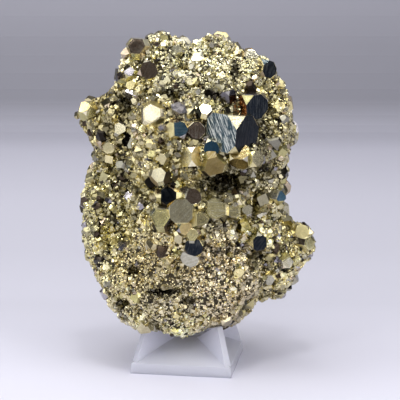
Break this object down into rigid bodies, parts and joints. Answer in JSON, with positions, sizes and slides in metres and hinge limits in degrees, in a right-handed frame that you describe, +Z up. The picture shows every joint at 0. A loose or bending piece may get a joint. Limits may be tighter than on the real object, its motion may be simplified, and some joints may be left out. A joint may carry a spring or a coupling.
{
  "type": "pyrite specimen on a display stand",
  "caption": "Knobbly cluster of golden pyrite, fine crystals with big flat-faced ones among them, resting in the cradle of a small clear square display stand.",
  "frame": {"origin": "centre of the stand's underside, where it rests on the table", "axes": "+Z up, -Y the way the specimen's best side faces, +X to the right of it"},
  "size_m": [0.0615, 0.0436, 0.0848],
  "materials": {
    "pyrite": "bright crystal faces, brassy, with blue-black and brown tarnish on some",
    "clear_acrylic": "clear moulded acrylic, polished, slightly violet in the shade"
  },
  "bodies": {
    "root": {"pyrite_cluster": "pyrite", "display_stand": "clear_acrylic"}
  },
  "joints": []
}
